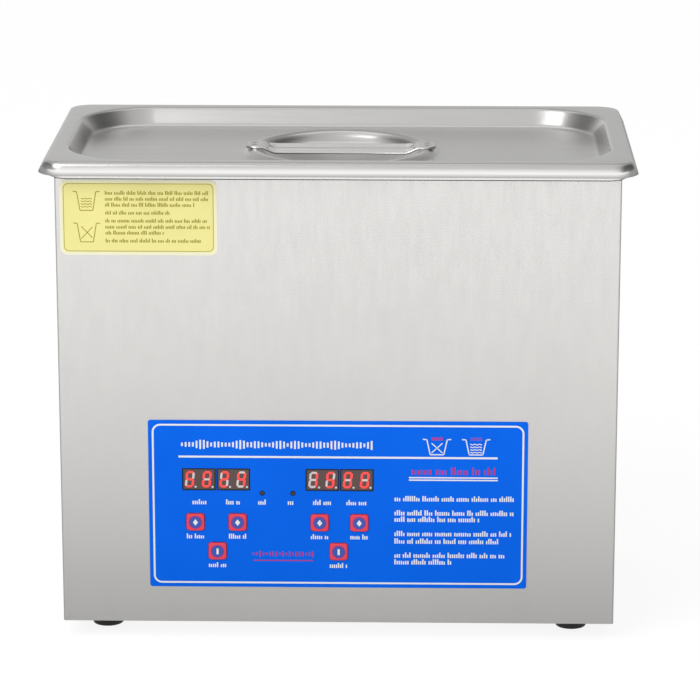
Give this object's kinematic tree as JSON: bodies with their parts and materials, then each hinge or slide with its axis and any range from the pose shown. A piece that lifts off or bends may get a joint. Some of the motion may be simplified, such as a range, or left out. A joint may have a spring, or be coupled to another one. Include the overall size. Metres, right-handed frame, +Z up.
{
  "type": "ultrasonic cleaner",
  "caption": "Benchtop ultrasonic cleaner: heated steel tank in a box case with lift-off lid, hanging basket, blue control panel, rear drain valve and cooling fan.",
  "frame": {"origin": "on the bench under the middle of the bounding box", "axes": "+Z up, front with the control panel faces -Y, +X to the right seen from the front"},
  "size_m": [0.325, 0.209, 0.2724],
  "materials": {
    "case_steel": "satin stainless sheet with a fine linen emboss",
    "tank_steel": "drawn stainless, satin",
    "lid_steel": "pressed stainless, fine polished grain",
    "basket_steel": "bright stainless wire",
    "foot_rubber": "matt black rubber",
    "gasket_rubber": "black soft rubber",
    "screw_steel": "zinc plated",
    "panel_blue": "printed polycarbonate film, semi gloss",
    "label_yellow": "printed vinyl",
    "display_dark": "smoked display window",
    "led_lens": "tinted lens, unlit",
    "key_red": "moulded cap, semi gloss",
    "board_green": "glass-fibre board with solder mask",
    "component_black": "moulded component bodies",
    "standoff_brass": "turned brass",
    "cast_aluminium": "turned and extruded aluminium",
    "piezo_ceramic": "fired ceramic, silvered faces",
    "mass_steel": "turned steel",
    "heater_silicone": "silicone heating mat",
    "valve_nickel": "nickel plated brass",
    "lever_red": "vinyl dipped steel lever",
    "module_black": "fine spark texture",
    "pin_nickel": "nickel plated blades",
    "rocker_black": "polished rocker",
    "ribbon_grey": "flat flexible cable",
    "fan_black": "glass filled moulding",
    "guard_chrome": "bright plated wire"
  },
  "bodies": {
    "housing": {"back_mass_1": "mass_steel", "back_mass_2": "mass_steel", "back_mass_3": "mass_steel", "base_plate": "case_steel", "board_standoffs": "standoff_brass", "case_wrap": "case_steel", "control_board": "board_green", "display_actual": "display_dark", "display_minutes": "display_dark", "display_seconds": "display_dark", "display_set": "display_dark", "drain_hose": "gasket_rubber", "drain_spigot": "tank_steel", "fan_frame": "fan_black", "fan_guard": "guard_chrome", "foot_1": "foot_rubber", "foot_2": "foot_rubber", "foot_3": "foot_rubber", "foot_4": "foot_rubber", "generator_board": "board_green", "generator_parts": "component_black", "heat_sink": "cast_aluminium", "heater_pads": "heater_silicone", "hose_tail": "valve_nickel", "inlet_pins": "pin_nickel", "led_pair": "led_lens", "notice_label": "label_yellow", "panel_overlay": "panel_blue", "piezo_stacks": "piezo_ceramic", "power_module": "module_black", "rear_panel": "case_steel", "ribbon_cable": "ribbon_grey", "screws": "screw_steel", "tact_switches": "component_black", "tank": "tank_steel", "tank_gasket": "gasket_rubber", "temperature_probe": "standoff_brass", "thermal_cutout": "component_black", "transducer_bolts": "screw_steel", "transducer_horn_1": "cast_aluminium", "transducer_horn_2": "cast_aluminium", "transducer_horn_3": "cast_aluminium", "valve_body": "valve_nickel"},
    "lid": {"lid_pan": "lid_steel", "lid_handle": "lid_steel"},
    "basket": {"basket_mesh": "basket_steel", "basket_frame": "basket_steel", "basket_hooks": "basket_steel"},
    "valve_lever": {"valve_lever": "lever_red", "valve_ball": "valve_nickel"},
    "rocker": {"power_rocker": "rocker_black"},
    "fuse_drawer": {"fuse_drawer": "module_black"},
    "fan_rotor": {"fan_rotor": "fan_black"},
    "key_temperature_up": {"key_temperature_up": "key_red"},
    "key_temperature_down": {"key_temperature_down": "key_red"},
    "key_time_up": {"key_time_up": "key_red"},
    "key_time_down": {"key_time_down": "key_red"},
    "key_heater": {"key_heater": "key_red"},
    "key_ultrasound": {"key_ultrasound": "key_red"}
  },
  "joints": [
    {"name": "lid_lift", "type": "slide", "parent": "housing", "child": "lid", "axis": [0, 0, 1], "range_m": [0, 0.36]},
    {"name": "basket_lift", "type": "slide", "parent": "housing", "child": "basket", "axis": [0, 0, 1], "range_m": [0, 0.18]},
    {"name": "valve_turn", "type": "hinge", "parent": "housing", "child": "valve_lever", "pos_m": [-0.118, 0.0795, 0.0725], "axis": [0, 0, 1], "range_deg": [0, 90]},
    {"name": "rocker_tip", "type": "hinge", "parent": "housing", "child": "rocker", "pos_m": [-0.02, 0.063, 0.0756], "axis": [1, 0, 0], "range_deg": [0, 20]},
    {"name": "fuse_slide", "type": "slide", "parent": "housing", "child": "fuse_drawer", "axis": [0, 1, 0], "range_m": [0, 0.018]},
    {"name": "fan_spin", "type": "hinge", "parent": "housing", "child": "fan_rotor", "pos_m": [0.075, 0.0542, 0.062], "axis": [0, 1, 0], "continuous": true},
    {"name": "press_temperature_up", "type": "slide", "parent": "housing", "child": "key_temperature_up", "axis": [0, 1, 0], "range_m": [0, 0.0005], "stiffness_N_per_m": 1000},
    {"name": "press_temperature_down", "type": "slide", "parent": "housing", "child": "key_temperature_down", "axis": [0, 1, 0], "range_m": [0, 0.0005], "stiffness_N_per_m": 1000},
    {"name": "press_time_up", "type": "slide", "parent": "housing", "child": "key_time_up", "axis": [0, 1, 0], "range_m": [0, 0.0005], "stiffness_N_per_m": 1000},
    {"name": "press_time_down", "type": "slide", "parent": "housing", "child": "key_time_down", "axis": [0, 1, 0], "range_m": [0, 0.0005], "stiffness_N_per_m": 1000},
    {"name": "press_heater", "type": "slide", "parent": "housing", "child": "key_heater", "axis": [0, 1, 0], "range_m": [0, 0.0005], "stiffness_N_per_m": 1000},
    {"name": "press_ultrasound", "type": "slide", "parent": "housing", "child": "key_ultrasound", "axis": [0, 1, 0], "range_m": [0, 0.0005], "stiffness_N_per_m": 1000}
  ],
  "couplings": [
    {"joint": "basket_lift", "follows": "lid_lift", "ratio": 0.5}
  ]
}
